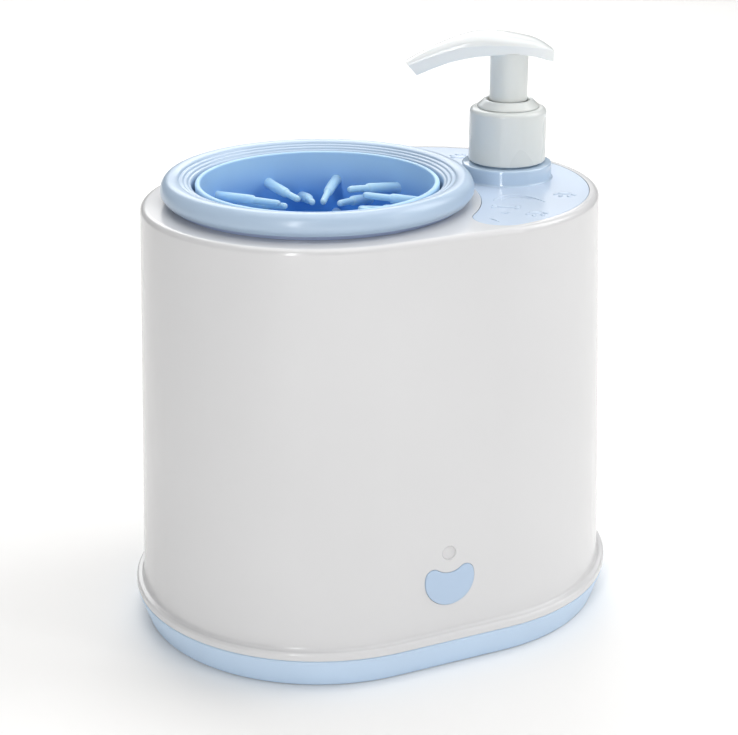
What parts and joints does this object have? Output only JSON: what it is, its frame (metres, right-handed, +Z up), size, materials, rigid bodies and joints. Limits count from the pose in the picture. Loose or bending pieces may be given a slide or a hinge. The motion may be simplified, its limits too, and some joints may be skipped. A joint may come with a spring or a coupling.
{
  "type": "paw washer cup",
  "caption": "Motor-driven paw washer: brush cup with splash ring beside a soap tank with a lotion pump, in one drafted oval housing on a base tray.",
  "frame": {"origin": "on the floor under the middle of the footprint", "axes": "+X from the cup end to the soap pump end, -Y the front with the button, +Z up"},
  "size_m": [0.2148, 0.165, 0.2473],
  "materials": {
    "white_shell": "glossy white ABS",
    "blue_base": "satin pale blue ABS",
    "blue_ring": "satin pale blue ABS",
    "blue_liner": "soft sky blue liner",
    "bristle_soft": "soft silicone, sky blue",
    "blue_panel": "satin pale blue with raised marks",
    "blue_button": "satin pale blue",
    "pump_white": "glossy white polypropylene",
    "pump_clear": "natural polypropylene",
    "tank_natural": "natural polyethylene",
    "blue_cup": "glossy ABS",
    "inner_white": "plain moulded ABS",
    "gear_acetal": "natural acetal",
    "steel": "bright steel",
    "dark_steel": "zinc plated steel can",
    "bronze": "sintered bronze",
    "black_rubber": "black rubber",
    "white_rubber": "soft white rubber",
    "lens": "frosted white window",
    "pcb": "green solder mask",
    "cell_wrap": "blue shrink wrap",
    "wire_red": "PVC insulated wire"
  },
  "bodies": {
    "housing": {"outer_housing": "white_shell", "base_tray": "blue_base", "rubber_feet": "black_rubber", "base_screws": "steel", "cup_well": "inner_white", "well_screws": "steel", "drive_chassis": "inner_white", "chassis_screws": "steel", "motor": "dark_steel", "motor_screws": "dark_steel", "gear_cover": "inner_white", "idler_axle": "steel", "lower_bush": "bronze", "upper_bush": "bronze", "shaft_seal": "black_rubber", "battery_pack": "cell_wrap", "battery_strap": "inner_white", "circuit_board": "pcb", "tact_switch": "black_rubber", "led_lamp": "lens", "led_lens": "lens", "charging_socket": "steel", "cover_pin": "steel", "motor_leads": "wire_red", "battery_leads": "wire_red"},
    "motor_rotor": {"motor_pinion": "bronze"},
    "idler": {"idler_gear": "gear_acetal"},
    "drive": {"drive_gear": "gear_acetal", "drive_shaft": "steel", "drive_dog": "gear_acetal"},
    "cup": {"wash_cup": "blue_cup", "cup_bush": "bronze", "cup_seal": "black_rubber"},
    "brush_drive": {"cup_shaft": "steel", "driven_dog": "gear_acetal", "brush_hub": "blue_liner"},
    "brush": {"brush_sleeve": "blue_liner", "brush_bristles": "bristle_soft"},
    "ring": {"splash_ring": "blue_ring", "ring_gasket": "black_rubber"},
    "tank": {"tank_body": "tank_natural", "tank_top": "blue_panel"},
    "pump": {"pump_cylinder": "pump_clear", "pump_chaplet": "pump_white", "neck_gasket": "pump_clear", "inlet_ball": "steel", "dip_tube": "pump_clear", "pump_spring": "steel"},
    "collar": {"pump_collar": "pump_white"},
    "plunger": {"piston": "pump_white"},
    "head": {"pump_stem": "pump_white", "pump_skirt": "pump_white", "pump_head": "pump_white"},
    "button": {"power_button": "blue_button", "switch_plunger": "lens"},
    "flap": {"port_cover": "white_rubber"}
  },
  "joints": [
    {"name": "drive_spin", "type": "hinge", "parent": "housing", "child": "drive", "pos_m": [-0.025, 0, 0.05], "axis": [0, 0, 1], "continuous": true},
    {"name": "idler_spin", "type": "hinge", "parent": "housing", "child": "idler", "pos_m": [0.005, 0, 0.05], "axis": [0, 0, 1], "continuous": true},
    {"name": "motor_spin", "type": "hinge", "parent": "housing", "child": "motor_rotor", "pos_m": [0.031, 0, 0.05], "axis": [0, 0, 1], "continuous": true},
    {"name": "cup_lift", "type": "slide", "parent": "housing", "child": "cup", "axis": [0, 0, 1], "range_m": [0, 0.012]},
    {"name": "brush_spin", "type": "hinge", "parent": "cup", "child": "brush_drive", "pos_m": [-0.025, 0, 0.08], "axis": [0, 0, 1], "continuous": true},
    {"name": "brush_lift", "type": "slide", "parent": "brush_drive", "child": "brush", "axis": [0, 0, 1], "range_m": [0, 0.01]},
    {"name": "ring_lift", "type": "slide", "parent": "cup", "child": "ring", "axis": [0, 0, 1], "range_m": [0, 0.008]},
    {"name": "tank_lift", "type": "slide", "parent": "housing", "child": "tank", "axis": [0, 0, 1], "range_m": [0, 0.126]},
    {"name": "pump_lift", "type": "slide", "parent": "tank", "child": "pump", "axis": [0, 0, 1], "range_m": [0, 0.15]},
    {"name": "collar_unscrew", "type": "hinge", "parent": "pump", "child": "collar", "pos_m": [0.064, 0, 0.2], "axis": [0, 0, 1], "range_deg": [0, 540]},
    {"name": "pump_press", "type": "slide", "parent": "pump", "child": "plunger", "axis": [0, 0, -1], "range_m": [0, 0.012], "stiffness_N_per_m": 300, "springref_m": -0.01, "deforming": ["pump_spring"]},
    {"name": "head_swivel", "type": "hinge", "parent": "plunger", "child": "head", "pos_m": [0.064, 0, 0.24], "axis": [0, 0, 1], "continuous": true},
    {"name": "button_press", "type": "slide", "parent": "housing", "child": "button", "axis": [0, 0.9993, -0.0363], "range_m": [0, 0.0009], "stiffness_N_per_m": 1500, "springref_m": -0.0006},
    {"name": "flap_open", "type": "hinge", "parent": "housing", "child": "flap", "pos_m": [0, 0.07775, 0.0236], "axis": [-1, 0, 0], "range_deg": [0, 100]}
  ],
  "couplings": [
    {"joint": "drive_spin", "follows": "brush_spin", "ratio": 1},
    {"joint": "idler_spin", "follows": "brush_spin", "ratio": -4},
    {"joint": "motor_spin", "follows": "brush_spin", "ratio": 13.333}
  ]
}
